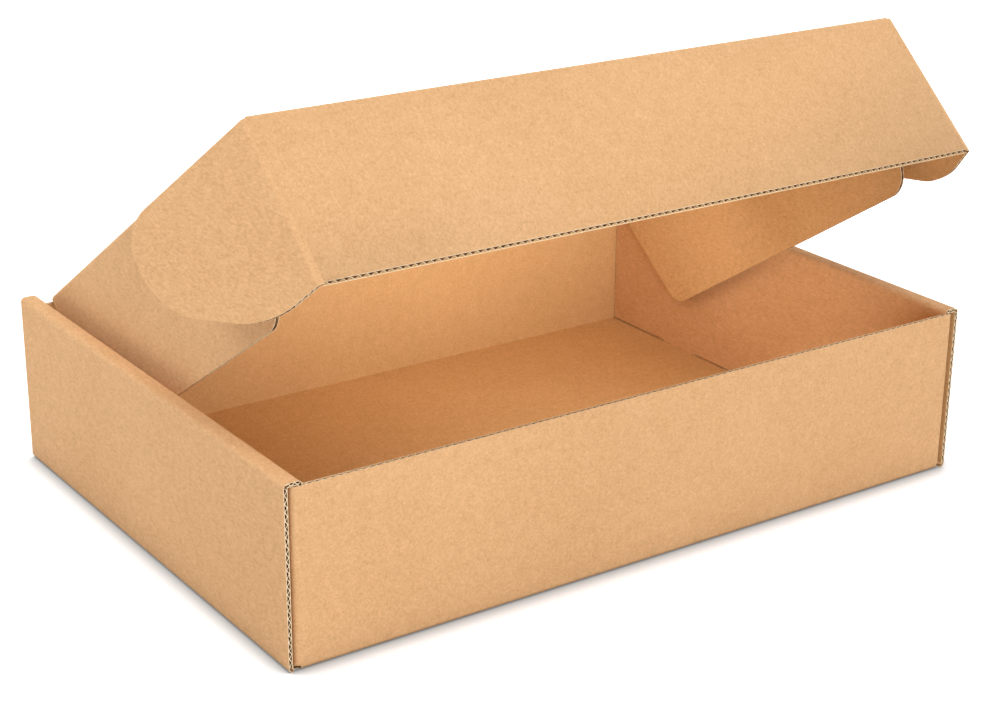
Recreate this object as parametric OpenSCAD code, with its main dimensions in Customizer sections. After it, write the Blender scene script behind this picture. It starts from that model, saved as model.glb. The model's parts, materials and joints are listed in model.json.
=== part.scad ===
// Corrugated mailer box, die-cut and folded from one sheet of single-wall board.
// The tray stands on the floor, its front towards -Y and its lid crease along the back.
// The origin is the middle of the tray's footprint, on the surface that it stands on.

/* [Board] */
// Thickness of the corrugated board
board_t = 1.6; // [1.2:0.1:2.4]
// Inside radius of a folded edge
fold_r = 0.4; // [0.2:0.1:1]
// Gap between the two pieces that meet at a crease that moves
crease_gap = 0.2; // [0.1:0.05:0.4]

/* [Tray] */
// Outside width of the tray, along its front
box_w = 330; // [260:1:420]
// Outside depth of the tray, front to back
box_d = 231; // [190:1:320]
// Outside height of the tray
box_h = 74.5; // [60:0.5:110]
// Slack on each side of the tongues inside a rolled side wall
layer_gap = 1.4; // [0.5:0.1:2.5]
// Clearance of an inner edge above the board that it stands on
foot_gap = 0.6; // [0.3:0.1:1.2]
// Gap between the front wall's top and the rolled strips over it
strip_gap = 0.1; // [0.1:0.1:1]
// Length of the corner tongues that run inside the side walls
tongue_len = 72; // [40:1:85]
// Clearance between the rolled inner walls and the front and back walls
inner_end_gap = 0.4; // [0.2:0.1:2]
// Length of each locking tab at the foot of the inner walls
tab_len = 24; // [12:1:40]
// Distance of each locking tab from the middle of its wall
tab_offset = 60; // [30:1:70]
// Clearance around a locking tab in its slot
tab_gap = 0.3; // [0.2:0.1:0.8]

/* [Lid] */
// Angle that the lid stands open, from level
lid_angle = 33; // [21:1:120]
// Distance of the lid's crease below the tray's top
crease_drop = 3; // [2:0.5:6]
// Clearance between the ear creases and the tray's inner side walls
lid_side_gap = 4.2; // [2:0.1:8]
// Clearance between the front fold and the inside of the front wall
lid_front_gap = 4.8; // [2:0.1:10]

/* [Front panel] */
// Angle that the front panel is folded down from the lid
panel_angle = 75; // [30:1:90]
// Clearance of the closed front panel above the tray's floor
panel_floor_gap = 1.2; // [0.5:0.1:6]

/* [Ears] */
// Splay of the left ear, out from the side plane
ear_left_angle = 25; // [1:1:60]
// Splay of the right ear, out from the side plane
ear_right_angle = 12; // [1:1:60]
// Reach of an ear behind the front panel
ear_len = 67.5; // [50:0.5:90]
// Set-back of an ear's upper and lower edge from the panel's edges
ear_inset = 0.7; // [0.3:0.1:3]
// Distance down the panel to where an ear's back edge turns in
ear_shoulder = 36.3; // [25:0.1:40]
// Reach of an ear's lower edge behind the front panel
ear_toe = 26; // [15:1:32]
// Radius of an ear's upper corner
ear_top_r = 13; // [4:0.5:16]
// Radius of an ear's shoulder
ear_shoulder_r = 40; // [10:1:44]
// Radius of an ear's lower turn
ear_toe_r = 44; // [10:1:60]
// Clearance between an ear and the dust flap inside it
ear_flap_gap = 0.3; // [0.3:0.1:1.5]

/* [Dust flaps] */
// Clearance of a closed dust flap above the tray's floor
flap_floor_gap = 0.6; // [0.5:0.1:6]
// Set-back of a dust flap from the lid's rear crease
flap_rear_gap = 2.5; // [1.5:0.5:10]
// Set-back of a dust flap from the front fold
flap_front_gap = 3.8; // [3:0.1:15]
// Slant of a dust flap's rear edge, from square
flap_rear_slant = 19; // [0:1:35]
// Slant of a dust flap's front edge, from square
flap_front_slant = 15; // [0:1:35]
// Radius of a dust flap's rear corner
flap_rear_r = 11; // [3:0.5:20]
// Radius of a dust flap's front corner
flap_front_r = 10.5; // [3:0.5:20]

/* [Hidden] */
$fn = 64;

kraft = [0.88, 0.69, 0.48];
kraft_front = [0.92, 0.73, 0.53];
kraft_flap = [0.84, 0.64, 0.44];

// Outside radius of a folded edge
bend_r = fold_r + board_t;
// Outer face of the corner tongues and inner face of the rolled inner walls, from the middle
tongue_x = box_w / 2 - board_t - layer_gap;
inner_x = tongue_x - 2 * board_t - layer_gap;
// Half the flat width of the front and back walls, between their corner folds
flat_x = tongue_x - bend_r;
// Centres of the tray's folds: along its sides, along its ends, at its top and over the inner walls
side_fold_x = box_w / 2 - bend_r;
end_fold_y = box_d / 2 - bend_r;
top_fold_z = box_h - bend_r;
inner_fold_x = inner_x + bend_r;
// Tops of the front wall and of the back wall
front_h = top_fold_z - strip_gap;
crease_z = box_h - crease_drop;
back_h = crease_z - board_t / 2 - crease_gap;
// Height at which the inner walls and the tongues start
foot_z = board_t + foot_gap;

// Lid crease, in the middle of the back wall's board
crease_y = box_d / 2 - board_t / 2;
// Length of the lid from its crease to the front fold
lid_len = crease_y + box_d / 2 - board_t - lid_front_gap;
// Ear creases, and half the width of the lid's flat plate
ear_x = inner_x - lid_side_gap;
lid_x = ear_x - board_t / 2 - ear_flap_gap - board_t - crease_gap;
// Distance from a moving crease to the square end of the board beside it
crease_set = board_t / 2 + crease_gap;
panel_h = crease_z - board_t - panel_floor_gap;
flap_h = crease_z - board_t / 2 - board_t - flap_floor_gap;

// Unit vector from one point to another
function toward(a, b) = (b - a) / norm(b - a);

// Half of the angle between the two edges that meet at a corner
function half_angle(a, p, b) = acos(toward(p, a) * toward(p, b)) / 2;

// Corner radius, no larger than the shorter edge beside it leaves room for
function fitted_r(a, p, b, r) =
    min(r, tan(half_angle(a, p, b)) * min(norm(a - p), norm(b - p)) / 2);

// Outline of straight edges with its corners rounded, each corner given as [x, y, radius]
module rounded_outline(corners) {
    n = len(corners);
    at = [for (c = corners) [c[0], c[1]]];
    before = [for (i = [0 : n - 1]) at[(i + n - 1) % n]];
    after = [for (i = [0 : n - 1]) at[(i + 1) % n]];
    r = [for (i = [0 : n - 1]) fitted_r(before[i], at[i], after[i], corners[i][2])];
    half = [for (i = [0 : n - 1]) half_angle(before[i], at[i], after[i])];
    start = [for (i = [0 : n - 1]) at[i] + toward(at[i], before[i]) * r[i] / tan(half[i])];
    end = [for (i = [0 : n - 1]) at[i] + toward(at[i], after[i]) * r[i] / tan(half[i])];
    polygon([for (i = [0 : n - 1]) each [start[i], end[i]]]);
    for (i = [0 : n - 1]) {
        if (r[i] > 0) {
            middle = at[i] + toward(at[i], (start[i] + end[i]) / 2) * r[i] / sin(half[i]);
            intersection() {
                translate(middle) circle(r = r[i]);
                polygon([start[i], at[i], end[i]]);
            }
        }
    }
}

// Section of a folded edge: a quarter ring in the quadrant of +X and +Y
module bend() {
    intersection() {
        difference() {
            circle(r = bend_r);
            circle(r = fold_r);
        }
        square(bend_r);
    }
}

// Straight stretch of board in a section, from its lower left to its upper right corner
module bar(low, high) {
    polygon([low, [high[0], low[1]], high, [low[0], high[1]]]);
}

// Copies its children to the right and, mirrored, to the left
module both_sides() {
    children();
    mirror([1, 0, 0]) children();
}

// Draws an XZ section along Y, centred
module along_y(length) {
    rotate([90, 0, 0]) linear_extrude(height = length, center = true) children();
}

// Draws a YZ section along X, centred
module along_x(length) {
    rotate([90, 0, 90]) linear_extrude(height = length, center = true) children();
}

// Section of the floor's margin, the outer side wall and the strip rolled over its top
module rolled_section() {
    bar([flat_x + foot_gap, 0], [side_fold_x, board_t]);
    translate([side_fold_x, bend_r]) rotate(-90) bend();
    bar([box_w / 2 - board_t, bend_r], [box_w / 2, top_fold_z]);
    translate([side_fold_x, top_fold_z]) bend();
    bar([inner_fold_x, box_h - board_t], [side_fold_x, box_h]);
    translate([inner_fold_x, top_fold_z]) rotate(90) bend();
}

// Side wall: outer wall, rolled strip and the inner wall with its locking tabs
module side_wall() {
    along_y(box_d) rolled_section();
    along_y(box_d - 2 * (board_t + inner_end_gap))
        bar([inner_x, foot_z], [inner_x + board_t, top_fold_z]);
    for (side = [-1, 1]) {
        translate([0, side * tab_offset, 0]) along_y(tab_len)
            bar([inner_x, tab_gap], [inner_x + board_t, foot_z + board_t]);
    }
}

// End wall at the front, folded up from the floor, with a tongue turned back at each corner.
// Its folds start within the board of the floor and of the wall.
module end_wall(height) {
    along_x(2 * flat_x) {
        bar([-end_fold_y, 0], [bend_r - end_fold_y, board_t]);
        translate([-end_fold_y, bend_r]) rotate(180) bend();
        bar([-box_d / 2, bend_r], [board_t - box_d / 2, height]);
    }
    both_sides() translate([0, 0, foot_z]) linear_extrude(height = height - foot_z) {
        bar([flat_x - bend_r, -box_d / 2], [flat_x, board_t - box_d / 2]);
        translate([flat_x, -end_fold_y]) rotate(-90) bend();
        bar([tongue_x - board_t, -end_fold_y], [tongue_x, tongue_len - box_d / 2]);
    }
}

// Floor of the tray, with a slot for each locking tab
module floor_panel() {
    slot_x = inner_x + board_t / 2;
    slot_size = [board_t + 2 * tab_gap, tab_len + 2 * tab_gap, 3 * board_t];
    difference() {
        translate([-side_fold_x, -end_fold_y, 0]) cube([2 * side_fold_x, 2 * end_fold_y, board_t]);
        both_sides() for (side = [-1, 1]) {
            translate([slot_x, side * tab_offset, 0]) cube(slot_size, center = true);
        }
    }
}

module tray() {
    color(kraft) {
        floor_panel();
        end_wall(front_h);
        mirror([0, 1, 0]) end_wall(back_h);
        both_sides() side_wall();
    }
}

// Puts its children in the lid's frame: the crease along X, the lid running to -Y
module in_lid() {
    translate([0, crease_y, crease_z]) rotate([-lid_angle, 0, 0]) children();
}

// Puts its children in the front panel's frame: the fold along X, the panel running to -Y
module in_panel() {
    in_lid() translate([0, -lid_len, 0]) rotate([panel_angle, 0, 0]) children();
}

// Board on both sides of a crease along X, with a round edge at the crease
module creased_panel(width, length) {
    translate([-width / 2, -length, -board_t / 2]) cube([width, length, board_t]);
    rotate([0, 90, 0]) cylinder(d = board_t, h = width, center = true);
}

module lid() {
    color(kraft) in_lid() creased_panel(2 * lid_x, lid_len - crease_set);
}

module front_panel() {
    color(kraft_front) in_panel() creased_panel(2 * (ear_x - crease_set), panel_h);
}

// Flat shape of a dust flap: X runs from the lid's side edge, Y back to the rear crease
module flap_outline() {
    rear = -flap_rear_gap;
    front = -lid_len + flap_front_gap;
    rounded_outline([
        [0, rear, 0],
        [0, front, 0],
        [flap_h, front + flap_h * tan(flap_front_slant), flap_front_r],
        [flap_h, rear - flap_h * tan(flap_rear_slant), flap_rear_r]
    ]);
}

// Right dust flap, folded square down from the lid's side edge and rounded over the corner
module dust_flap() {
    length = lid_len - flap_front_gap - flap_rear_gap;
    in_lid() translate([lid_x + crease_gap, 0, -board_t / 2]) {
        rotate([0, 90, 0]) linear_extrude(height = board_t) flap_outline();
        translate([0, -flap_rear_gap - length / 2, 0]) along_y(length) intersection() {
            circle(r = board_t);
            square(board_t);
        }
    }
}

module dust_flap_left() {
    color(kraft_flap) mirror([1, 0, 0]) dust_flap();
}

module dust_flap_right() {
    color(kraft_flap) dust_flap();
}

// Flat shape of an ear: X runs out from its crease, Y up the crease
module ear_outline() {
    foot = -(panel_h - ear_inset);
    rounded_outline([
        [0, -ear_inset, 0],
        [0, foot, 0],
        [ear_toe, foot, ear_toe_r],
        [ear_len, -ear_inset - ear_shoulder, ear_shoulder_r],
        [ear_len, -ear_inset, ear_top_r]
    ]);
}

// Right ear, turned back from the front panel and splayed out from square
module ear(splay) {
    height = panel_h - 2 * ear_inset;
    in_panel() translate([ear_x, 0, 0]) rotate([0, 90 - splay, 0]) {
        linear_extrude(height = board_t, center = true) ear_outline();
        translate([0, -panel_h / 2, 0]) rotate([90, 0, 0]) cylinder(d = board_t, h = height, center = true);
    }
}

module ear_left() {
    color(kraft) mirror([1, 0, 0]) ear(ear_left_angle);
}

module ear_right() {
    color(kraft) ear(ear_right_angle);
}

tray();
lid();
front_panel();
dust_flap_left();
dust_flap_right();
ear_left();
ear_right();
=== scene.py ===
# %% [markdown]
# # A corrugated mailer box, standing half open
# One sheet of brown corrugated board, die-cut, creased and folded. The sheet is two flat paper liners with a wavy
# medium between them, and that sandwich shows wherever a knife has cut across the flutes.
# Solid plates would look like fibreboard, so each panel here is built as the real sheet is: two thin liners with air
# between them, and real flutes behind the cut edges that the eye can reach.
#
# The light, the camera and the papers come from a studio photograph of such a box. The box's own sizes come from its
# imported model.

import json
import math

import bmesh
import bpy
from mathutils import Matrix, Vector


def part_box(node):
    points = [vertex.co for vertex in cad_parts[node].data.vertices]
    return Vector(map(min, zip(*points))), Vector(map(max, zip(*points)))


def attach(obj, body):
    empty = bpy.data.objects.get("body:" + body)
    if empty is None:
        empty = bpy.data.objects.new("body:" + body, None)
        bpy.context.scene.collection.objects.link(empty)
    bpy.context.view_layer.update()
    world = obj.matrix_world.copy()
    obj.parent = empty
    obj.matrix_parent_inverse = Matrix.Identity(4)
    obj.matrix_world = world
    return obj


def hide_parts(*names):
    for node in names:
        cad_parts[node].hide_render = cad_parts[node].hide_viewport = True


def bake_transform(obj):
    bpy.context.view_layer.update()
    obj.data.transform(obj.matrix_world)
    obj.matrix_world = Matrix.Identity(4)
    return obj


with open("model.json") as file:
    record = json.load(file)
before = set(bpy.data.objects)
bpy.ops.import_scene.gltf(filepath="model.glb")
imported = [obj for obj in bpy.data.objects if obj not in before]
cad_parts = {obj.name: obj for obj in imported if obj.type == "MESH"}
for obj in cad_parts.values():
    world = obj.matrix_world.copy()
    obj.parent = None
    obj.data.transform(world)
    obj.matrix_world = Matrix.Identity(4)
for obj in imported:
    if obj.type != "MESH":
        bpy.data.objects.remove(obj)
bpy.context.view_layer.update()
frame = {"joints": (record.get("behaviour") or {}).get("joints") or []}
joints = {j["name"]: j for j in frame["joints"]}

# %% [markdown]
# ## Sizes
# Everything that moves must sit on its crease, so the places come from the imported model's joints and boxes.
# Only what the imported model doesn't say, such as the paper's own thickness, is a value of this script. Both papers are
# drawn a little thicker than real ones, so that they still show from a metre away.

# %% Sizes in metres
MM = 0.001
BOARD = 1.6 * MM            # thickness of the whole sheet
LINER = 0.22 * MM           # one flat paper liner
MEDIUM = 0.28 * MM          # the wavy paper between the liners
FLUTE = 3.2 * MM            # distance from one flute to the next
BEND = 2.0 * MM             # outside radius of a folded edge
SET = 1.0 * MM              # from a moving crease to the square end of its panel
CREASE_FLAT = 0.5 * MM      # flat margin on each side of a crease, made with the crease
MARGIN = SET + CREASE_FLAT  # from a moving crease to where its panel's own piece starts
MID = BOARD / 2             # half the sheet, to its middle plane
FOLD_R = BEND - MID         # radius of a fold at the middle plane

half_w, half_d, tray_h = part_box("tray")[1]
hinge = Vector(joints["lid_hinge"]["pos_m"])
fold = Vector(joints["front_panel_fold"]["pos_m"])
panel_down = Vector(joints["ear_left_fold"]["axis"]).normalized()
if panel_down.z > 0:
    panel_down = -panel_down
lid_len = (fold - hinge).length
lid_angle = math.degrees(math.atan2(fold.z - hinge.z, hinge.y - fold.y))
panel_angle = lid_angle + math.degrees(math.atan2(-panel_down.z, -panel_down.y))
ear_x = joints["ear_right_fold"]["pos_m"][0]        # from the box's middle to an ear's crease
lid_x = joints["dust_flap_right_fold"]["pos_m"][0]  # from the box's middle to a dust flap's crease
print("tray", [round(2000 * v, 1) for v in (half_w, half_d)], "mm, height", round(1000 * tray_h, 1))
print("lid", round(1000 * lid_len, 1), "mm long, open", round(lid_angle, 1), "degrees, panel", round(panel_angle, 1))

# %% [markdown]
# ## Where the folded panels lie
# A flat blank is easiest to draw lying down, each panel with its crease on the X axis, running to -Y. A matrix then
# folds it up to its place. The front panel's matrix builds on the lid's, and an ear's on the front panel's, just as
# the real folds carry one another.

# %% Places of the panels
in_lid = Matrix.Translation(hinge) @ Matrix.Rotation(math.radians(-lid_angle), 4, "X")
in_panel = in_lid @ Matrix.Translation((0, -lid_len, 0)) @ Matrix.Rotation(math.radians(panel_angle), 4, "X")
mirrored = Matrix.Scale(-1, 4, (1, 0, 0))
print("front fold at", [round(1000 * c, 1) for c in in_panel.translation], "mm")

# %% [markdown]
# ## The knife and the creasing press
# A blank is cut and creased by a few plain moves, so a few helpers make them: a flat sheet, a choice of its edges, a
# fold about a line, and a pull that lengthens the sheet. Edges are chosen by their place, because nobody clicks here.

# %% Helpers that cut and fold a sheet
FOLD_STEPS = 6              # flat facets in a quarter turn, smooth enough at a radius of 2 mm
TINY = 0.01 * MM            # how near counts as the same place


def flat_sheet(name, low, high):
    """A flat rectangle on the XY plane, from its low corner to its high corner."""
    bpy.ops.object.select_all(action="DESELECT")
    bpy.ops.mesh.primitive_plane_add(size=1)
    sheet = bpy.context.object
    sheet.name = name
    sheet.scale = (high[0] - low[0], high[1] - low[1], 1)
    sheet.location = ((low[0] + high[0]) / 2, (low[1] + high[1]) / 2, 0)
    bpy.ops.object.transform_apply(location=True, rotation=False, scale=True)
    return sheet


def pick(piece, test, kind="EDGE"):
    """Opens a piece for editing and selects what passes a test: corners, edges (ends and middle) or faces (middle)."""
    if bpy.context.mode != "EDIT_MESH":
        bpy.ops.object.select_all(action="DESELECT")
        piece.select_set(True)
        bpy.context.view_layer.objects.active = piece
        bpy.ops.object.mode_set(mode="EDIT")
    bpy.ops.mesh.select_mode(type=kind)
    bpy.ops.mesh.select_all(action="DESELECT")
    mesh = bmesh.from_edit_mesh(piece.data)
    chosen = 0
    for part in {"EDGE": mesh.edges, "VERT": mesh.verts, "FACE": mesh.faces}[kind]:
        if kind == "FACE":
            places = [part.calc_center_median()]
        elif kind == "EDGE":
            places = [v.co for v in part.verts] + [(part.verts[0].co + part.verts[1].co) / 2]
        else:
            places = [part.co]
        if all(test(co) for co in places):
            part.select_set(True)
            chosen += 1
    mesh.select_flush_mode()
    bmesh.update_edit_mesh(piece.data)
    return chosen


def fold_edge(centre, axis, degrees, steps=FOLD_STEPS):
    """Carries the selected edges round a fold line; spin counts its angle the other way."""
    bpy.ops.mesh.spin(steps=steps, angle=math.radians(-degrees), center=centre, axis=axis)


def pull(offset):
    """Lengthens the sheet from the selected edges."""
    bpy.ops.mesh.extrude_region_move(TRANSFORM_OT_translate={"value": offset})


def close_sheet(piece, near=(0, 0, 0), outward=(0, 0, 1)):
    """Merges doubled points and turns all faces one way: the face nearest to a point looks outward."""
    pick(piece, lambda co: True, "VERT")
    bpy.ops.mesh.remove_doubles(threshold=TINY)
    bpy.ops.mesh.normals_make_consistent(inside=False)
    faces = bmesh.from_edit_mesh(piece.data).faces
    first = min(faces, key=lambda face: (face.calc_center_median() - Vector(near)).length)
    if first.normal.dot(Vector(outward)) < 0:
        bpy.ops.mesh.flip_normals()
    bpy.ops.object.mode_set(mode="OBJECT")


def apply_modifier(piece, kind, **settings):
    """Adds one modifier with its settings and applies it at once."""
    bpy.ops.object.select_all(action="DESELECT")
    piece.select_set(True)
    bpy.context.view_layer.objects.active = piece
    modifier = piece.modifiers.new(kind.lower(), kind)
    for setting, value in settings.items():
        setattr(modifier, setting, value)
    bpy.ops.object.modifier_apply(modifier=modifier.name)


def place(piece, matrix):
    """Folds a flat piece to its place, in its mesh. A mirrored one comes out inside out, so it is turned back."""
    bpy.ops.object.select_all(action="DESELECT")
    piece.select_set(True)
    bpy.context.view_layer.objects.active = piece
    piece.matrix_world = matrix
    bpy.ops.object.transform_apply(location=True, rotation=True, scale=True)
    if matrix.is_negative:
        pick(piece, lambda co: True, "FACE")
        bpy.ops.mesh.flip_normals()
        bpy.ops.object.mode_set(mode="OBJECT")


# %% [markdown]
# ## The papers
# Kraft liner is unbleached paper from long brown softwood fibres, pressed and left uncoated. It gives the eye a warm,
# quite matt tan with a soft mottling of some millimetres, finer fibre streaks and a dark speck here and there. The
# inner liner holds recycled fibre, which makes it a touch yellower.
# A photograph of paper would do it too, but it would carry its own light and blur up close. Noise in real
# millimetres stays sharp at any distance.

# %% Colours and one function for nodes
def linear(hex_colour):
    """An sRGB hex colour as the linear values that a shader takes."""
    parts = [int(hex_colour[i : i + 2], 16) / 255 for i in (1, 3, 5)]
    return [c / 12.92 if c <= 0.04045 else ((c + 0.055) / 1.055) ** 2.4 for c in parts] + [1]


def add_node(material, kind, settings=None, links=None):
    """Adds a node. Settings are its own options or its inputs' values, links join its inputs to other outputs."""
    made = material.node_tree.nodes.new(kind)
    for key, value in (settings or {}).items():
        if isinstance(key, int) or key in made.inputs:
            made.inputs[key].default_value = value
        else:
            setattr(made, key, value)
    for key, source in (links or {}).items():
        material.node_tree.links.new(source, made.inputs[key])
    return made


def new_material(name):
    """An empty material that is built from nodes."""
    material = bpy.data.materials.new(name)
    material.use_nodes = True
    material.node_tree.nodes.clear()
    return material


print("mid grey #808080 is", round(linear("#808080")[0], 3), "to a shader")

# %% [markdown]
# Specks are bits of bark in the pulp. They could be scattered as small pieces, but a Voronoi pattern is enough: each
# of its cells gets a round dot at its point, of a size by chance, and most dots are too small to show.

# %% Specks of bark
SPECK = 9 * MM              # spacing of the bits of bark in the pulp
SPECK_SIZE = 0.035          # largest speck, as a share of that spacing
SPECK_CHANCE = 0.55         # share of the cells that stay without one
SPECK_DEPTH = 0.45          # how far a speck's brown covers the paper


def specked(kraft, on_board, paper_colour):
    """The paper's colour with brown specks on it."""
    speck = add_node(kraft, "ShaderNodeTexVoronoi", {"Scale": 1 / SPECK}, {"Vector": on_board})
    chance = add_node(kraft, "ShaderNodeSeparateColor", links={"Color": speck.outputs["Color"]})
    speck_edge = add_node(kraft, "ShaderNodeMapRange",
                          {"From Min": SPECK_CHANCE, "From Max": 1.0, "To Min": 0.0, "To Max": SPECK_SIZE},
                          {"Value": chance.outputs["Red"]})
    is_speck = add_node(kraft, "ShaderNodeMath", {"operation": "LESS_THAN"},
                        {0: speck.outputs["Distance"], 1: speck_edge.outputs["Result"]})
    strength = add_node(kraft, "ShaderNodeMath", {"operation": "MULTIPLY", 1: SPECK_DEPTH}, {0: is_speck.outputs[0]})
    coloured = add_node(kraft, "ShaderNodeMix", {"data_type": "RGBA", 7: linear("#8A5A30")},
                        {0: strength.outputs[0], 6: paper_colour})
    return coloured.outputs[2]


print("a speck is", round(2000 * SPECK * SPECK_SIZE, 2), "mm across at most")

# %% [markdown]
# The flutes press through the liner as a faint ripple, the washboard, which only shows in raking light. A sine of the
# distance across the flutes gives it. That distance is the attribute "across", which every board gets below.

# %% Washboard and fibre relief
RIPPLE = 0.1                # height of the washboard in the bump
FIBRE_RELIEF = 0.35         # height of the fibres in it


def paper_relief(kraft, fibre_tone):
    """A bump of fibres on a washboard."""
    across = add_node(kraft, "ShaderNodeAttribute", {"attribute_name": "across"})
    phase = add_node(kraft, "ShaderNodeMath", {"operation": "MULTIPLY", 1: 2 * math.pi / FLUTE},
                     {0: across.outputs["Fac"]})
    washboard = add_node(kraft, "ShaderNodeMath", {"operation": "SINE"}, {0: phase.outputs[0]})
    ripple = add_node(kraft, "ShaderNodeMath", {"operation": "MULTIPLY", 1: RIPPLE}, {0: washboard.outputs[0]})
    grain = add_node(kraft, "ShaderNodeMath", {"operation": "MULTIPLY_ADD", 1: FIBRE_RELIEF},
                     {0: fibre_tone, 2: ripple.outputs[0]})
    bump = add_node(kraft, "ShaderNodeBump", {"Strength": 0.5, "Distance": 0.06 * MM}, {"Height": grain.outputs[0]})
    return bump.outputs["Normal"]


print("washboard:", round(1 / (FLUTE / MM) * 100), "ripples in 100 mm")

# %% [markdown]
# The liner's tone is the sum of three noises: fibre streaks most of all, then mottle, then a slow cloud. One noise
# with more detail would be cheaper, but real paper has these three sizes and little between them.

# %% Kraft liner
FIBRE = 0.8 * MM            # width of a fibre streak, coarser than the real one so that it shows
FIBRE_SHRINK = 0.35         # a streak's width as a share of its length
MOTTLE = 5 * MM             # size of the soft light and dark patches
MOTTLE_SHARE = 0.35         # their part in the tone, next to 1 for the fibres
CLOUD = 60 * MM             # slow change of tone across a panel
CLOUD_SHARE = 0.25


def liner_paper(name, dark, light):
    """Kraft liner between two tones: matt, mottled and fibrous."""
    kraft = new_material(name)
    on_board = add_node(kraft, "ShaderNodeTexCoord").outputs["Object"]
    mottle = add_node(kraft, "ShaderNodeTexNoise", {"Scale": 1 / MOTTLE, "Detail": 4.0, "Roughness": 0.6},
                      {"Vector": on_board})
    cloud = add_node(kraft, "ShaderNodeTexNoise", {"Scale": 1 / CLOUD, "Detail": 2.0}, {"Vector": on_board})
    along = add_node(kraft, "ShaderNodeMapping", {"Scale": (1.0, FIBRE_SHRINK, 1.0)}, {"Vector": on_board})
    fibre = add_node(kraft, "ShaderNodeTexNoise", {"Scale": 1 / FIBRE, "Detail": 3.0, "Distortion": 0.8},
                     {"Vector": along.outputs["Vector"]})
    patches = add_node(kraft, "ShaderNodeMath", {"operation": "MULTIPLY_ADD", 1: MOTTLE_SHARE},
                       {0: mottle.outputs["Fac"], 2: fibre.outputs["Fac"]})
    clouded = add_node(kraft, "ShaderNodeMath", {"operation": "MULTIPLY_ADD", 1: CLOUD_SHARE},
                       {0: cloud.outputs["Fac"], 2: patches.outputs[0]})
    tone = add_node(kraft, "ShaderNodeMapRange", {"From Min": 0.5, "From Max": 1.1}, {"Value": clouded.outputs[0]})
    paper = add_node(kraft, "ShaderNodeValToRGB", links={"Fac": tone.outputs["Result"]})
    paper.color_ramp.elements[0].color = linear(dark)
    paper.color_ramp.elements[1].color = linear(light)
    shader = add_node(kraft, "ShaderNodeBsdfPrincipled", {"Roughness": 0.85, "IOR": 1.5, "Specular IOR Level": 0.3},
                      {"Base Color": specked(kraft, on_board, paper.outputs["Color"]),
                       "Normal": paper_relief(kraft, fibre.outputs["Fac"])})
    add_node(kraft, "ShaderNodeOutputMaterial", links={"Surface": shader.outputs[0]})
    return kraft


# Fresh kraft outside, a warm tan
outer_liner = liner_paper("kraft_liner", "#CA9A68", "#E8BA8A")
# Test liner inside, with recycled fibre: the same tan, a touch yellower
inner_liner = liner_paper("kraft_test_liner", "#C99D66", "#E7BE88")
print("liners:", [(m.name, len(m.node_tree.nodes)) for m in (outer_liner, inner_liner)])

# %% [markdown]
# ## Cut edges and fluting
# Where the knife went through, the fibres stand open and catch the light, so a cut edge is paler than the pressed
# face. The medium between the liners is recycled paper, thinner, browner and rougher, and its colour is painted darker
# still, a painted shade for the cells between the liners.

# %% Cut edge and fluting paper
def plain_paper(name, dark, light, grain_size, roughness):
    """Matt paper with one fine noise between two tones."""
    material = new_material(name)
    where = add_node(material, "ShaderNodeTexCoord").outputs["Object"]
    noise = add_node(material, "ShaderNodeTexNoise", {"Scale": 1 / grain_size, "Detail": 3.0}, {"Vector": where})
    spread = add_node(material, "ShaderNodeMapRange", {"From Min": 0.3, "From Max": 0.7},
                      {"Value": noise.outputs["Fac"]})
    ramp = add_node(material, "ShaderNodeValToRGB", links={"Fac": spread.outputs["Result"]})
    ramp.color_ramp.elements[0].color = linear(dark)
    ramp.color_ramp.elements[1].color = linear(light)
    rough = add_node(material, "ShaderNodeBump", {"Strength": 0.6, "Distance": 0.05 * MM},
                     {"Height": noise.outputs["Fac"]})
    surface = add_node(material, "ShaderNodeBsdfPrincipled", {"Roughness": roughness, "Specular IOR Level": 0.2},
                       {"Base Color": ramp.outputs["Color"], "Normal": rough.outputs["Normal"]})
    add_node(material, "ShaderNodeOutputMaterial", links={"Surface": surface.outputs[0]})
    return material


# Paper cut across: open fibre ends, the palest and driest surface of the box
cut_edge = plain_paper("cut_paper_edge", "#F0CFA0", "#FFEFCF", 0.6 * MM, 0.9)
# Fluting medium: recycled brown paper, painted darker still as painted shade in the cells between the liners
fluting_with_painted_shade = plain_paper("fluting_medium_painted_shade", "#664025", "#875936", 1.5 * MM, 0.95)
print("papers:", [m.name for m in (cut_edge, fluting_with_painted_shade)])

# %% [markdown]
# ## From a sheet to corrugated board
# A folded sheet without thickness is the board's middle plane. Giving it thickness once, with its rim left open,
# yields the two liners' places, and a second time gives each liner its own paper thickness. The air between them
# stays, so the cut edges are open, as they are on the real board. The first thickness gives the inner side the next
# material slot, and the second gives its rim the last one, so each face knows its paper.

# %% Board from a sheet
FACET = math.radians(30)    # faces that meet at a smaller angle are shaded as one curve


def board_from_sheet(sheet, across_flutes=lambda co: co.x):
    """Turns a middle plane into two liners, and marks how far each point lies across the flutes."""
    for paper_kind in (outer_liner, inner_liner, cut_edge):
        sheet.data.materials.append(paper_kind)
    apply_modifier(sheet, "SOLIDIFY", thickness=BOARD - LINER, offset=0, use_rim=False, use_even_offset=True,
                   material_offset=1)
    apply_modifier(sheet, "SOLIDIFY", thickness=LINER, offset=0, use_even_offset=True, material_offset_rim=2)
    mark = sheet.data.attributes.new("across", "FLOAT", "POINT")
    for point in sheet.data.vertices:
        mark.data[point.index].value = across_flutes(point.co)
    bpy.ops.object.shade_smooth_by_angle(angle=FACET)


# %% [markdown]
# The medium is one wave, drawn once as a flat strip that is cut into eight and lifted to a sine, and an array repeats
# it. It gets its paper thickness last, so that the cells share their edges.

# %% Fluted medium
WAVE_STEPS = 8
WAVE_FACET = math.radians(50)
PRESSED_IN = 0.01 * MM      # how far a crest sinks into its liner, so that no light passes between them
wave_height = MID - LINER - MEDIUM / 2 + PRESSED_IN


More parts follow.
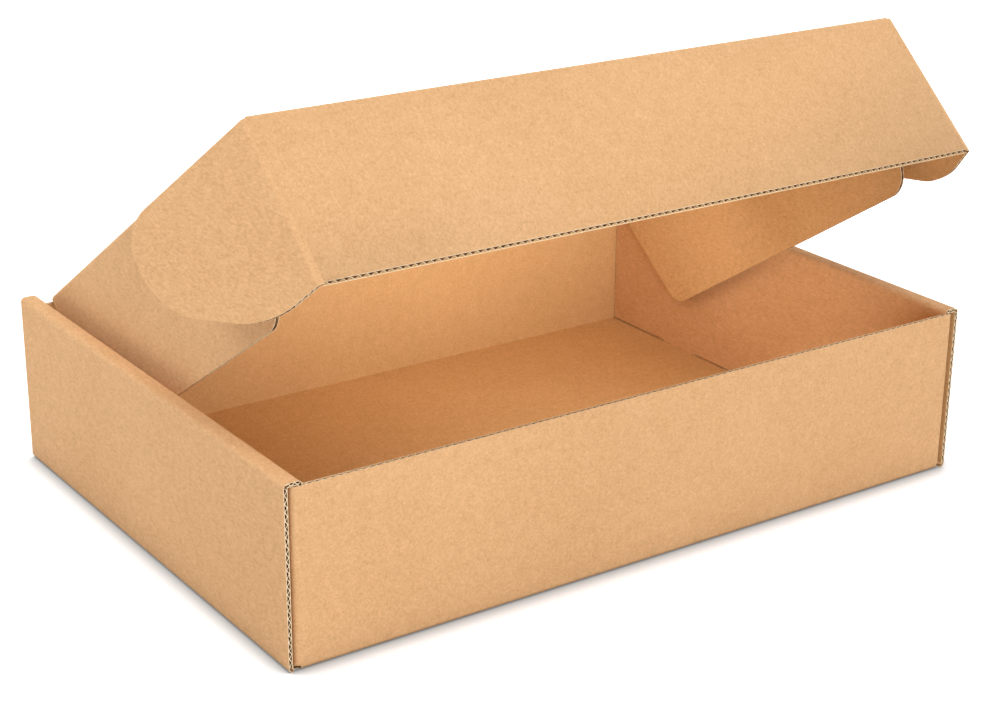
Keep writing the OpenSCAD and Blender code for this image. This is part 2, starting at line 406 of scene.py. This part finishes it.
def fluted_medium(name, low, high, knife=None):
    """Wavy paper in a rectangle of the XY plane, its flutes side by side along X. A knife is a point and a normal."""
    count = max(1, round((high[0] - low[0]) / FLUTE))
    pitch = (high[0] - low[0]) / count
    medium = flat_sheet(name, low, (low[0] + pitch, high[1]))
    cuts = [low[0] + pitch * step / WAVE_STEPS for step in range(1, WAVE_STEPS)]
    for cut in cuts:
        pick(medium, lambda co: True, "VERT")
        bpy.ops.mesh.bisect(plane_co=(cut, 0, 0), plane_no=(1, 0, 0))
    for step, cut in enumerate(cuts, 1):
        pick(medium, lambda co: abs(co.x - cut) < TINY, "VERT")
        bpy.ops.transform.translate(value=(0, 0, wave_height * math.sin(2 * math.pi * step / WAVE_STEPS)))
    bpy.ops.object.mode_set(mode="OBJECT")
    apply_modifier(medium, "ARRAY", count=count, use_relative_offset=False, use_constant_offset=True,
                   constant_offset_displace=(pitch, 0, 0), use_merge_vertices=True, merge_threshold=TINY)
    close_sheet(medium)
    if knife:
        pick(medium, lambda co: True, "VERT")
        bpy.ops.mesh.bisect(plane_co=knife[0], plane_no=knife[1], clear_outer=True)
        bpy.ops.object.mode_set(mode="OBJECT")
    medium.data.materials.append(fluting_with_painted_shade)
    medium.data.materials.append(cut_edge)
    apply_modifier(medium, "SOLIDIFY", thickness=MEDIUM, offset=0, use_even_offset=True, material_offset_rim=1)
    bpy.ops.object.shade_smooth_by_angle(angle=WAVE_FACET)
    return medium


def join(board, *parts):
    """Makes the liners and their flutes one piece."""
    bpy.ops.object.select_all(action="DESELECT")
    for part in parts:
        part.select_set(True)
    board.select_set(True)
    bpy.context.view_layer.objects.active = board
    bpy.ops.object.join()


# %% [markdown]
# ## The tray
# The tray is one folded sheet: a floor, end walls folded up with a tongue turned back at each corner, and side walls
# that roll over those tongues and lock into the floor. It could be walls set side by side, but then every fold would
# be a hard corner. Spinning the sheet's edge round each fold line, in the order of the real folding, gives every
# edge its soft radius. The slots that the side walls lock into are cut first, and the same cuts give the tabs their
# width.

# %% Cut the slots in the floor
ROLL_GAP = 1.4 * MM         # air on either side of a tongue, inside the rolled side wall

end_y = half_d - BEND                       # fold line of an end wall
side_x = half_w - BEND                      # fold line of a side wall
roll_z = tray_h - BEND                      # both fold lines of the strip along the top of a side wall
tongue_x = half_w - BOARD - ROLL_GAP        # outer face of a corner tongue
flat_x = tongue_x - BEND                    # half the flat width of the end walls
roll_x = tongue_x - 2 * BOARD - ROLL_GAP + BEND     # inner fold line of the strip
inner_mid = roll_x - FOLD_R                 # middle plane of the inner wall

tab_y = 60 * MM                             # middle of a locking tab, from the middle of the wall
slot_half = 12.1 * MM                       # half a slot's length
slot_side = MID + 0.08 * MM                 # half its width, a tight fit on the tab

tray = flat_sheet("tray_board", (-flat_x, -end_y), (flat_x, end_y))
place(tray, Matrix.Translation((0, 0, MID)))
for side in (-1, 1):
    for edge in (-1, 1):
        pick(tray, lambda co: True, "VERT")
        bpy.ops.mesh.bisect(plane_co=(side * inner_mid + edge * slot_side, 0, 0), plane_no=(1, 0, 0))
        pick(tray, lambda co: True, "VERT")
        bpy.ops.mesh.bisect(plane_co=(0, side * tab_y + edge * slot_half, 0), plane_no=(0, 1, 0))
pick(tray, lambda co: abs(abs(co.x) - inner_mid) < slot_side and abs(abs(co.y) - tab_y) < slot_half, "FACE")
bpy.ops.mesh.delete(type="FACE")
print("floor with its four slots:", len(bmesh.from_edit_mesh(tray.data).faces), "faces")

# %% [markdown]
# The front wall ends in a cut edge just under the box's top. The back wall ends where the lid's crease starts. From
# the upright edges of both, a tongue turns back along the side.

# %% Fold up the end walls and turn back their tongues
front_top = roll_z - 0.1 * MM               # clear of the rolled strip
back_top = hinge.z - MARGIN
tongue_len = 70 * MM

for end, top in ((-1, front_top), (1, back_top)):
    pick(tray, lambda co: co.y * end > end_y - TINY and co.z < BOARD)
    fold_edge((0, end * end_y, BEND), (1, 0, 0), 90 * end)
    pull((0, 0, top - BEND))
    for side in (-1, 1):
        pick(tray, lambda co: co.x * side > flat_x - TINY and co.y * end > end_y + FOLD_R - TINY
             and co.z > BEND - TINY)
        fold_edge((side * flat_x, end * end_y, 0), (0, 0, 1), -90 * side * end)
        pull((0, -end * tongue_len, 0))
print("end walls and tongues:", len(tray.data.vertices), "points before the side walls")

# %% [markdown]
# A side wall covers the box's full depth outside, but inside it has to fit between the end walls. So the floor widens
# just before the wall's fold, and the inner wall narrows again just below the strip. Its tabs go down through the
# slots, and elsewhere its foot stays a little above the floor, which shows as a thin dark line.

# %% Roll the side walls
NOTCH = 0.5 * MM                            # length over which the floor widens
inner_foot = 2.2 * MM                       # foot of the inner wall, 0.6 mm above the board of the floor
tab_end = 0.3 * MM                          # end of a tab, above the table

for side in (-1, 1):
    pick(tray, lambda co: co.x * side > flat_x - TINY and abs(co.y) < end_y + TINY and abs(co.z - MID) < TINY)
    pull((side * (side_x - flat_x - NOTCH), 0, 0))
    pull((side * NOTCH, 0, 0))
    bpy.ops.transform.resize(value=(1, half_d / end_y, 1), center_override=(0, 0, 0))
    fold_edge((side * side_x, 0, BEND), (0, 1, 0), -90 * side)
    pull((0, 0, roll_z - BEND))
    fold_edge((side * side_x, 0, roll_z), (0, 1, 0), -90 * side)
    pull((-side * (side_x - roll_x), 0, 0))
    fold_edge((side * roll_x, 0, roll_z), (0, 1, 0), -90 * side)
    pull((0, 0, -BEND))
    bpy.ops.transform.resize(value=(1, end_y / half_d, 1), center_override=(0, 0, 0))
    pull((0, 0, inner_foot - roll_z + BEND))

tab_edges = pick(tray, lambda co: abs(co.z - inner_foot) < TINY and abs(abs(co.x) - inner_mid) < TINY
                 and abs(abs(co.y) - tab_y) < slot_half + TINY)
pull((0, 0, tab_end - inner_foot))
close_sheet(tray, outward=(0, 0, -1))
print("tabs pulled from", tab_edges, "edges")

# %% [markdown]
# Giving the folded sheet its thickness makes it board. The washboard has to know where it is on the unfolded sheet:
# across the floor and the end walls that is X alone, and up a side wall the height comes on top.

# %% Tray board
def across_tray(co):
    """Flutes run from front to back, so they stand in the end walls and lie in the side walls."""
    return abs(co.x) + (co.z if abs(co.x) > flat_x - BOARD else 0)


board_from_sheet(tray, across_tray)
print("tray board:", len(tray.data.polygons), "faces")

# %% [markdown]
# ## Flutes in the walls
# The knife crossed the flutes along the top of the front wall and along the upright ends of the side walls, so there
# the wave shows as dark cells between two pale lines. Each wall gets a medium of its full size. The floor's medium
# could never be seen, so it has none.

# %% Put the flutes into the walls
STRIP_PAST = 0.8 * MM       # how far the strip's medium reaches past its fold lines, into the bends

fills = []
for end, top in ((-1, front_top), (1, back_top)):
    medium = fluted_medium("end_wall_flutes", (-flat_x, BEND), (flat_x, top))
    place(medium, Matrix.Translation((0, end * (half_d - MID), 0)) @ Matrix.Rotation(math.pi / 2, 4, "X"))
    fills.append(medium)
for side in (-1, 1):
    medium = fluted_medium("side_wall_flutes", (BEND, -half_d), (roll_z, half_d))
    place(medium, Matrix.Translation((side * (half_w - MID), 0, 0)) @ Matrix.Rotation(-math.pi / 2, 4, "Y"))
    fills.append(medium)
    medium = fluted_medium("strip_flutes", (-side_x - STRIP_PAST, -half_d), (-roll_x + STRIP_PAST, half_d))
    place(medium, Matrix.Translation((0, 0, tray_h - MID)) @ Matrix.Scale(-side, 4, (1, 0, 0)))
    fills.append(medium)
join(tray, *fills)
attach(tray, "tray")
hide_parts("tray")
print("tray with flutes:", sum(len(p.vertices) - 2 for p in tray.data.polygons), "triangles")

# %% [markdown]
# ## The lid and the front panel
# Two flat rectangles. Their creases are separate pieces, made below, because a crease bends when the lid moves and a
# panel doesn't. So each panel stops a little short of its creases.
# The knife leaned a little when it cut the front panel's free edge, which lays the dark cells open to the eye. The
# same slanting plane trims the liners and the wave. The wave is trimmed as a sheet, before it has its thickness,
# because its long wavy outline is too much for a filled cut.

# %% Lid and front panel
CUT_SLANT = 0.9 * MM        # how far the knife leaned over the board's thickness
SAME_WAY = 0.999            # cosine above which a face counts as square to the cut's direction
panel_h = 68.7 * MM         # height of the front panel
flap_fold_x = lid_x - 0.2 * MM              # where the lid starts to bend down into a dust flap
lid_side = flap_fold_x - CREASE_FLAT        # half the lid's flat width
panel_side = ear_x - MARGIN                 # half the front panel's

lid = flat_sheet("lid_board", (-lid_side, -lid_len + MARGIN), (lid_side, -MARGIN))
board_from_sheet(lid)
place(lid, in_lid)
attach(lid, "lid")
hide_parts("lid")

panel = flat_sheet("front_panel_board", (-panel_side, -panel_h), (panel_side, -MARGIN))
board_from_sheet(panel)
slant = Vector((0, -BOARD, CUT_SLANT)).normalized()
knife = (Vector((0, -panel_h, -MID)), slant)
pick(panel, lambda co: True, "VERT")
bpy.ops.mesh.bisect(plane_co=knife[0], plane_no=knife[1], use_fill=True, clear_outer=True)
bpy.ops.object.mode_set(mode="OBJECT")
for face in panel.data.polygons:
    if face.normal.dot(slant) > SAME_WAY:
        face.material_index = panel.data.materials.find(cut_edge.name)
join(panel, fluted_medium("panel_flutes", (-panel_side, -panel_h), (panel_side, -MARGIN), knife))
place(panel, in_panel)
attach(panel, "front_panel")
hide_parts("front_panel")
print("lid and front panel:", [len(o.data.polygons) for o in (lid, panel)], "faces")

# %% [markdown]
# ## Curved corners
# Ears and dust flaps have round corners. A vertex bevel cuts a corner back by the same length along both of its
# edges, so the length that gives the wanted radius is worked out from the corner's angle. Their medium has to follow
# the curve too, so the flat outline, made solid, trims it.

# %% Round corners and boards that follow them
LONGEST_CUT = 0.98          # share of an edge that one corner may use up


def round_corner(sheet, corner, radius, steps=10):
    """Rounds the corner of a flat outline that lies nearest to a point, as far as its edges leave room."""
    sheet.data.update()
    points = [v.co.copy() for v in sheet.data.vertices]
    order = list(sheet.data.polygons[0].vertices)
    at = min(range(len(order)), key=lambda i: (points[order[i]].xy - Vector(corner)).length)
    here, before, after = (points[order[(at + k) % len(order)]] for k in (0, -1, 1))
    half = (before - here).angle(after - here) / 2
    room = min((before - here).length, (after - here).length)
    cut_back = min(radius / math.tan(half), LONGEST_CUT * room)
    pick(sheet, lambda co: (co - here).length < TINY, "VERT")
    bpy.ops.mesh.bevel(offset=cut_back, offset_type="ABSOLUTE", affect="VERTICES", segments=steps, profile=0.5)
    bpy.ops.object.mode_set(mode="OBJECT")


def filled_board(sheet, low, high):
    """Board with a fluted medium that is cut to the sheet's own outline."""
    outline = sheet.copy()
    outline.data = sheet.data.copy()
    bpy.context.collection.objects.link(outline)
    apply_modifier(outline, "SOLIDIFY", thickness=BOARD, offset=0)
    medium = fluted_medium(sheet.name + "_flutes", low, high)
    apply_modifier(medium, "BOOLEAN", operation="INTERSECT", object=outline, solver="EXACT")
    bpy.data.objects.remove(outline)
    board_from_sheet(sheet)
    join(sheet, medium)


# %% [markdown]
# ## Dust flaps
# They hang from the lid's sides and close the gap along the walls. Their short edges are slanted and rounded so that
# they slide in without catching. The slant starts at the fold line, so the sheet is drawn from there and then cut
# back to where the flat flap starts.

# %% Dust flaps
flap_h = 68.5 * MM                          # from the lid to the flap's free edge
flap_rear = -2.5 * MM                       # rear end at the fold, from the lid's crease
flap_front = -lid_len + 3.8 * MM            # front end at the fold
rear_slant = math.tan(math.radians(19))     # sideways for each millimetre down
front_slant = math.tan(math.radians(15))
rear_round = 11 * MM                        # corner radii
front_round = 10.5 * MM
flap_start = FOLD_R + CREASE_FLAT - MID     # where the flat flap starts, below the lid's underside


def dust_flap(name, side):
    """One dust flap: drawn flat with X away from the lid, cut, rounded and hung at its fold."""
    sheet = flat_sheet(name, (0, flap_front), (flap_h, flap_rear))
    pick(sheet, lambda co: co.x > flap_h - TINY and co.y > flap_rear - TINY, "VERT")
    bpy.ops.transform.translate(value=(0, -flap_h * rear_slant, 0))
    pick(sheet, lambda co: co.x > flap_h - TINY and co.y < flap_front + TINY, "VERT")
    bpy.ops.transform.translate(value=(0, flap_h * front_slant, 0))
    bpy.ops.mesh.select_all(action="SELECT")
    bpy.ops.mesh.bisect(plane_co=(flap_start, 0, 0), plane_no=(1, 0, 0), clear_inner=True)
    bpy.ops.object.mode_set(mode="OBJECT")
    round_corner(sheet, (flap_h, flap_rear - flap_h * rear_slant), rear_round)
    round_corner(sheet, (flap_h, flap_front + flap_h * front_slant), front_round)
    filled_board(sheet, (flap_start, flap_front), (flap_h, flap_rear))
    hang = in_lid @ Matrix.Translation((lid_x + SET, 0, -MID)) @ Matrix.Rotation(math.pi / 2, 4, "Y")
    place(sheet, hang if side > 0 else mirrored @ hang)
    return sheet


flaps = {"dust_flap_left": -1, "dust_flap_right": 1}
for body, side in flaps.items():
    flap = dust_flap(body + "_board", side)
    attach(flap, body)
    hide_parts(body)
    print(body, len(flap.data.polygons), "faces")

# %% [markdown]
# ## Ears
# The ears lock the lid: they slip inside the rolled walls. Each is a half moon with a straight back edge, cut here
# from a rectangle by one slanting cut and three rounded corners. Its upper corner at the crease is pulled up to just
# under the lid's fold, so that no notch shows there.

# %% Ears
ear_len = 67.5 * MM                         # from the crease to the ear's tip
ear_top = -0.7 * MM                         # upper edge at the tip, below the lid's fold
ear_corner = -0.35 * MM                     # upper edge at the crease
ear_foot = -(panel_h - 0.2 * MM)            # lower end at the crease
shoulder = ear_top - 36.3 * MM              # where the slanting cut leaves the tip's edge
toe = 26 * MM                               # where it meets the foot
toe_round = 39 * MM                         # corner radii
shoulder_round = 36 * MM
tip_round = 13 * MM
ears = {"ear_left": -1, "ear_right": 1}
splay = {"ear_left": 25, "ear_right": 12}   # degrees that each ear stands out from square, as in the photograph


def ear(name, side, out_from_square):
    """One ear: drawn flat with X away from its crease, and turned back behind the front panel."""
    sheet = flat_sheet(name, (MARGIN, ear_foot), (ear_len, ear_top))
    pick(sheet, lambda co: True, "VERT")
    cut_off = Vector((shoulder - ear_foot, toe - ear_len, 0)).normalized()
    bpy.ops.mesh.bisect(plane_co=(toe, ear_foot, 0), plane_no=cut_off, clear_outer=True)
    pick(sheet, lambda co: co.x < MARGIN + TINY and co.y > ear_top - TINY, "VERT")
    bpy.ops.transform.translate(value=(0, ear_corner - ear_top, 0))
    bpy.ops.object.mode_set(mode="OBJECT")
    round_corner(sheet, (toe, ear_foot), toe_round, steps=16)
    round_corner(sheet, (ear_len, shoulder), shoulder_round, steps=16)
    round_corner(sheet, (ear_len, ear_top), tip_round, steps=12)
    filled_board(sheet, (MARGIN, ear_foot), (ear_len, ear_top))
    swing = in_panel @ Matrix.Translation((ear_x, 0, 0)) @ Matrix.Rotation(math.radians(90 - out_from_square), 4, "Y")
    place(sheet, swing if side > 0 else mirrored @ swing)
    return sheet


for body, side in ears.items():
    one_ear = ear(body + "_board", side, splay[body])
    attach(one_ear, body)
    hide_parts(body)
    print(body, len(one_ear.data.polygons), "faces")

# %% [markdown]
# ## Creases
# A crease is where the board was crushed so that it folds. It belongs to two panels at once: one margin stays with
# the first, the other goes with the second, and the board between them bends. A rigid piece would tear away when
# the lid moves; each crease here is a separate bent piece, attached to neither body.

# %% Creases that bend
CREASE_STEPS = 8


def crease(name, low, high, matrix, turn, radius):
    """A strip of board from a margin round a bend of some degrees about Y to a second margin."""
    strip = flat_sheet(name, low, high)
    pick(strip, lambda co: co.x > high[0] - TINY)
    fold_edge((high[0], 0, -radius), (0, 1, 0), turn, CREASE_STEPS)
    angle = math.radians(turn)
    pull((CREASE_FLAT * math.cos(angle), 0, -CREASE_FLAT * math.sin(angle)))
    close_sheet(strip, near=(low[0], 0, 0))
    board_from_sheet(strip)
    place(strip, matrix)
    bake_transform(strip)
    print(name, "turns", round(turn, 1), "degrees")


def crease_radius(turn):
    """Middle radius of a bend whose two ends lie SET before and after the corner."""
    return SET / math.tan(math.radians(turn) / 2)


quarter = Matrix.Rotation(-math.pi / 2, 4, "Z")     # the strip's X becomes the lid's -Y
up_wall = Matrix.Translation((0, hinge.y, hinge.z)) @ Matrix.Rotation(-math.pi / 2, 4, "X")
rear_turn = 90 - lid_angle
crease("rear_crease", (-MARGIN, -lid_side), (-SET, lid_side), up_wall @ quarter,
       rear_turn, crease_radius(rear_turn))
crease("front_crease", (-MARGIN, -panel_side), (-SET, panel_side),
       in_lid @ Matrix.Translation((0, -lid_len, 0)) @ quarter,
       panel_angle, crease_radius(panel_angle))
for body, side in ears.items():
    turn = 90 - splay[body]
    matrix = in_panel @ Matrix.Translation((ear_x, 0, 0))
    crease(body + "_crease", (-MARGIN, ear_foot), (-SET, ear_corner), matrix if side > 0 else mirrored @ matrix,
           turn, crease_radius(turn))
for body, side in flaps.items():
    matrix = in_lid @ Matrix.Translation((flap_fold_x, 0, 0))
    crease(body + "_crease", (-CREASE_FLAT, flap_front), (0, flap_rear), matrix if side > 0 else mirrored @ matrix,
           90, FOLD_R)

# %% [markdown]
# ## The floor
# The box stands on a white sweep in soft light. The floor is white paper that keeps the soft shadow, and its tone is
# lifted for the eye alone, so that it reads as pure white while the light on the box stays level. Close under the box
# the lift fades, and an ambient occlusion node paints both the paper's colour and its lift darker: a painted contact
# shade, the dark line that makes the box stand rather than float. A plain diffuse floor would do with stronger lamps,
# but those would bleach the paper.

# %% Floor
FLOOR_SIZE = 8              # metres across
CONTACT = 13.5 * MM         # reach of the contact shade around the box
WHITE_FROM = 0.28           # metres from the middle of the box, where the floor starts to turn plain white
WHITE_AT = 0.6              # and where it is


def background_rays(material):
    """1 where the eye looks, straight or by way of gloss or glass, and 0 where light is gathered."""
    rays = add_node(material, "ShaderNodeLightPath").outputs
    direct = add_node(material, "ShaderNodeMath", {"operation": "MAXIMUM"},
                      {0: rays["Is Camera Ray"], 1: rays["Is Glossy Ray"]})
    seen = add_node(material, "ShaderNodeMath", {"operation": "MAXIMUM"},
                    {0: direct.outputs[0], 1: rays["Is Transmission Ray"]})
    return seen.outputs[0]


bpy.ops.object.select_all(action="DESELECT")
bpy.ops.mesh.primitive_plane_add(size=FLOOR_SIZE)
floor = bpy.context.object
floor.name = "floor"

# White background paper: quite matt, a little below pure white, darkened close under the box by painted contact shade
sweep = new_material("white_sweep_with_painted_contact_shade")
# Painted contact shade: ambient occlusion darkens the floor's colour and its lift close under the box
contact = add_node(sweep, "ShaderNodeAmbientOcclusion", {"Distance": CONTACT, "samples": 16})
shade = add_node(sweep, "ShaderNodeMapRange", {"From Min": 0.4, "From Max": 1.0, "To Min": 0.25, "To Max": 1.0},
                 {"Value": contact.outputs["AO"]})
on_floor = add_node(sweep, "ShaderNodeTexCoord").outputs["Object"]
from_box = add_node(sweep, "ShaderNodeVectorMath", {"operation": "LENGTH"}, {0: on_floor})
whiter = add_node(sweep, "ShaderNodeMapRange",
                  {"From Min": WHITE_FROM, "From Max": WHITE_AT, "To Min": 0.6, "To Max": 1.0},
                  {"Value": from_box.outputs["Value"]})
lift = add_node(sweep, "ShaderNodeMath", {"operation": "MULTIPLY"},
                {0: background_rays(sweep), 1: whiter.outputs["Result"]})
shaded_lift = add_node(sweep, "ShaderNodeMath", {"operation": "MULTIPLY"},
                       {0: lift.outputs[0], 1: shade.outputs["Result"]})
paper_white_with_painted_shade = add_node(sweep, "ShaderNodeMix", {"data_type": "RGBA", 6: linear("#000000"), 7: linear("#F4F4F4")},
                       {0: shade.outputs["Result"]})
matt = add_node(sweep, "ShaderNodeBsdfDiffuse", links={"Color": paper_white_with_painted_shade.outputs[2]})
glow = add_node(sweep, "ShaderNodeEmission", {"Color": (1, 1, 1, 1)}, {"Strength": shaded_lift.outputs[0]})
both = add_node(sweep, "ShaderNodeAddShader", links={0: matt.outputs[0], 1: glow.outputs[0]})
add_node(sweep, "ShaderNodeOutputMaterial", links={"Surface": both.outputs[0]})
floor.data.materials.append(sweep)
print("floor:", round(floor.dimensions.x, 1), "m wide")

# %% [markdown]
# ## The light
# A product studio lights such a box from all around, with one side a little stronger so that the panels part. Five
# softboxes do that here, two in front, one on each side and one behind. The white surroundings also throw light into
# the open box, more than this small floor gives back, so two small lamps in its opening stand in for them. The eye
# doesn't see those two. They were matched from the front only: the one above reaches out through the lid and leaves
# a patch of light on its outer face, and the one in front lights the floor near it too strongly. Both show only from
# behind.

# %% Light
LAMP_DISTANCE = 2.0         # metres from the box to a softbox
AMBIENT = 0.15              # strength of the white surroundings as light, seen as pure white

world = bpy.data.worlds.new("studio")
bpy.context.scene.world = world
world.use_nodes = True
world.node_tree.nodes.clear()
level = add_node(world, "ShaderNodeMapRange", {"To Min": AMBIENT, "To Max": 1.0}, {"Value": background_rays(world)})
sky = add_node(world, "ShaderNodeBackground", {"Color": (1, 1, 1, 1)}, {"Strength": level.outputs["Result"]})
add_node(world, "ShaderNodeOutputWorld", links={"Surface": sky.outputs[0]})


def softbox(name, position, aim, width, height, power):
    """A lamp of some width and height, in metres, and some watts, that shines along a direction."""
    lamp = bpy.data.lights.new(name, "AREA")
    lamp.shape = "RECTANGLE"
    lamp.size = width
    lamp.size_y = height
    lamp.energy = power
    holder = bpy.data.objects.new(name, lamp)
    holder.matrix_world = Matrix.Translation(position) @ Vector(aim).to_track_quat("-Z", "Y").to_matrix().to_4x4()
    bpy.context.collection.objects.link(holder)
    return holder


def from_the_box(azimuth, elevation):
    """Unit vector from the box, in degrees from the front and above the table."""
    turn, rise = math.radians(azimuth), math.radians(elevation)
    return Vector((math.sin(turn) * math.cos(rise), -math.cos(turn) * math.cos(rise), math.sin(rise)))


for name, azimuth, elevation, width, height, power in (
    ("low_front_softbox", -13, 14, 1.6, 0.6, 15.5),
    ("high_front_softbox", 0, 60, 1.4, 1.0, 18),
    ("left_softbox", -110, 50, 1.2, 1.2, 12.5),
    ("rear_softbox", -150, 40, 1.6, 1.2, 15),
    ("right_softbox", 110, 25, 1.2, 1.2, 14),
):
    way = from_the_box(azimuth, elevation)
    softbox(name, LAMP_DISTANCE * way, -way, width, height, power)
for name, position, aim, width, height, power in (
    ("fill_from_the_front", (0.03, -0.105, 0.055), (0, 1, -0.15), 0.12, 0.03, 0.12),
    ("fill_from_above", (0.04, 0.05, 0.1), (0.2, 0.5, -1), 0.18, 0.07, 0.045),
):
    fill = softbox(name, position, aim, width, height, power)
    fill.visible_camera = False
print("lamps:", len(bpy.data.lights), "with", round(sum(lamp.energy for lamp in bpy.data.lights), 1), "W in all")

# %% [markdown]
# ## The camera
# It stands to the left of the box's front and a little above, near enough for a strong perspective. Its place, turns
# and lens were fitted to the corners of the box in the photograph, so the numbers are not round. The lens has no
# shift, like a plain one.

# %% Camera
azimuth = math.radians(34.805)              # to the right of straight ahead
pitch = math.radians(21.154)                # downward
roll = math.radians(0.528)                  # a slight tilt, as of a camera in the hand
forward = Vector((math.sin(azimuth) * math.cos(pitch), math.cos(azimuth) * math.cos(pitch), -math.sin(pitch)))
level_right = Vector((math.cos(azimuth), -math.sin(azimuth), 0))
level_up = level_right.cross(forward)
right = math.cos(roll) * level_right + math.sin(roll) * level_up
up = math.cos(roll) * level_up - math.sin(roll) * level_right
lens = bpy.data.cameras.new("camera")
lens.lens = 75.39                           # mm, on a sensor of 36 mm
lens.sensor_width = 36
camera = bpy.data.objects.new("camera", lens)
camera.matrix_world = Matrix.Translation(Vector((-479.74, -698.77, 376.81)) * MM) @ Matrix(
    (right, up, -forward)).transposed().to_4x4()
bpy.context.collection.objects.link(camera)
bpy.context.scene.camera = camera
bpy.context.scene.view_settings.view_transform = "Standard"
print("camera looks down", round(math.degrees(pitch), 1), "degrees from", round(camera.location.length, 2), "m")
